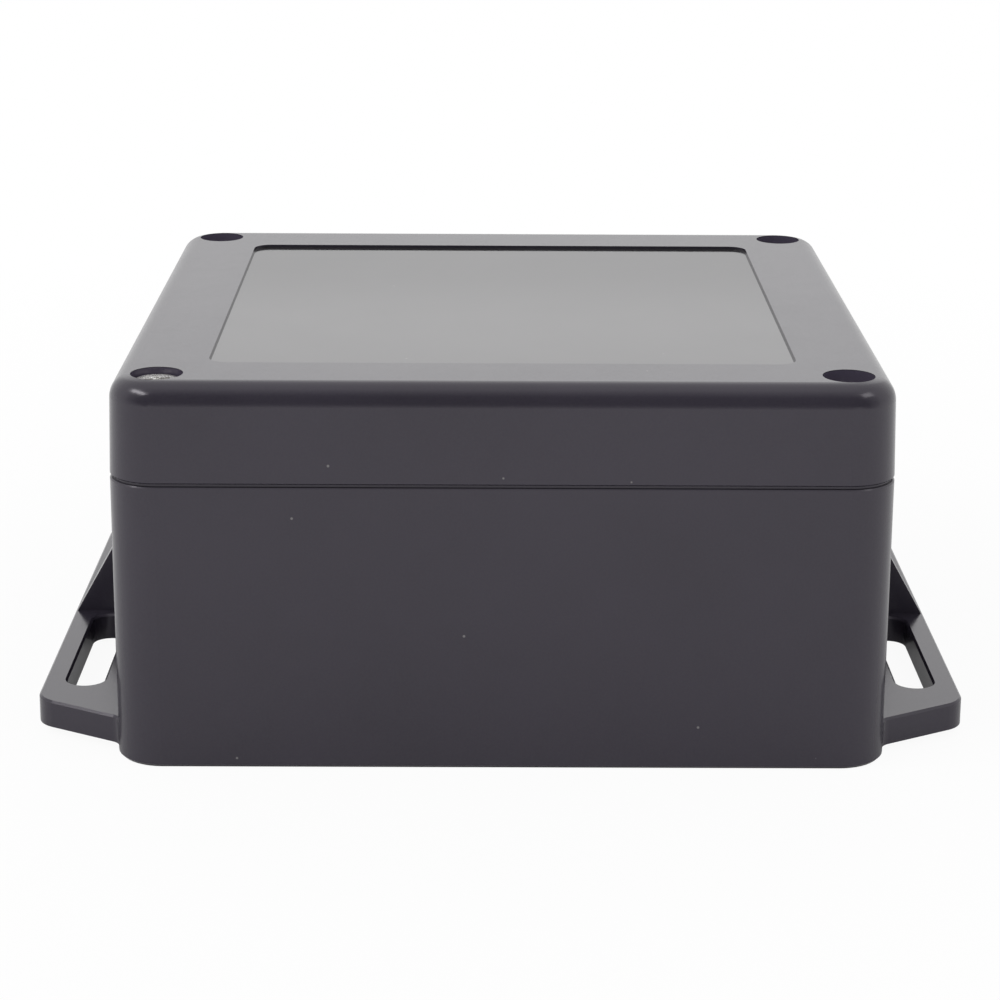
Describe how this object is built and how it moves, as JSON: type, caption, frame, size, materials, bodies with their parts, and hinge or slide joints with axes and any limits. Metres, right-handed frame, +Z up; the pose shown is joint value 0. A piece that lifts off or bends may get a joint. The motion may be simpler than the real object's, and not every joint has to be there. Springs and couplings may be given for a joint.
{
  "type": "plastic project box",
  "caption": "Square sealed plastic project box with a screwed-down lid, a sunk label panel and a slotted mounting flange on each side.",
  "frame": {"origin": "middle of the flat underside", "axes": "+Z up through the lid, X across both mounting flanges, -Y to the front"},
  "size_m": [0.1476, 0.12, 0.061],
  "materials": {
    "base_plastic": "fine moulded grain, satin",
    "lid_plastic": "fine moulded grain, satin",
    "gasket_rubber": "soft matt",
    "screw_steel": "bright",
    "insert_brass": "turned"
  },
  "bodies": {
    "base_body": {"base": "base_plastic", "insert_front_left": "insert_brass", "insert_front_right": "insert_brass", "insert_rear_right": "insert_brass", "insert_rear_left": "insert_brass"},
    "lid_body": {"lid": "lid_plastic", "gasket": "gasket_rubber"},
    "screw_front_left": {"lid_screw_front_left": "screw_steel"},
    "screw_front_right": {"lid_screw_front_right": "screw_steel"},
    "screw_rear_right": {"lid_screw_rear_right": "screw_steel"},
    "screw_rear_left": {"lid_screw_rear_left": "screw_steel"}
  },
  "joints": [
    {"name": "lid_lift", "type": "slide", "parent": "base_body", "child": "lid_body", "axis": [0, 0, 1], "range_m": [0, 0.06]},
    {"name": "screw_out_front_left", "type": "slide", "parent": "lid_body", "child": "screw_front_left", "axis": [0, 0, 1], "range_m": [-0.0023, 0.0217]},
    {"name": "screw_out_front_right", "type": "slide", "parent": "lid_body", "child": "screw_front_right", "axis": [0, 0, 1], "range_m": [0, 0.024]},
    {"name": "screw_out_rear_right", "type": "slide", "parent": "lid_body", "child": "screw_rear_right", "axis": [0, 0, 1], "range_m": [0, 0.024]},
    {"name": "screw_out_rear_left", "type": "slide", "parent": "lid_body", "child": "screw_rear_left", "axis": [0, 0, 1], "range_m": [0, 0.024]}
  ]
}
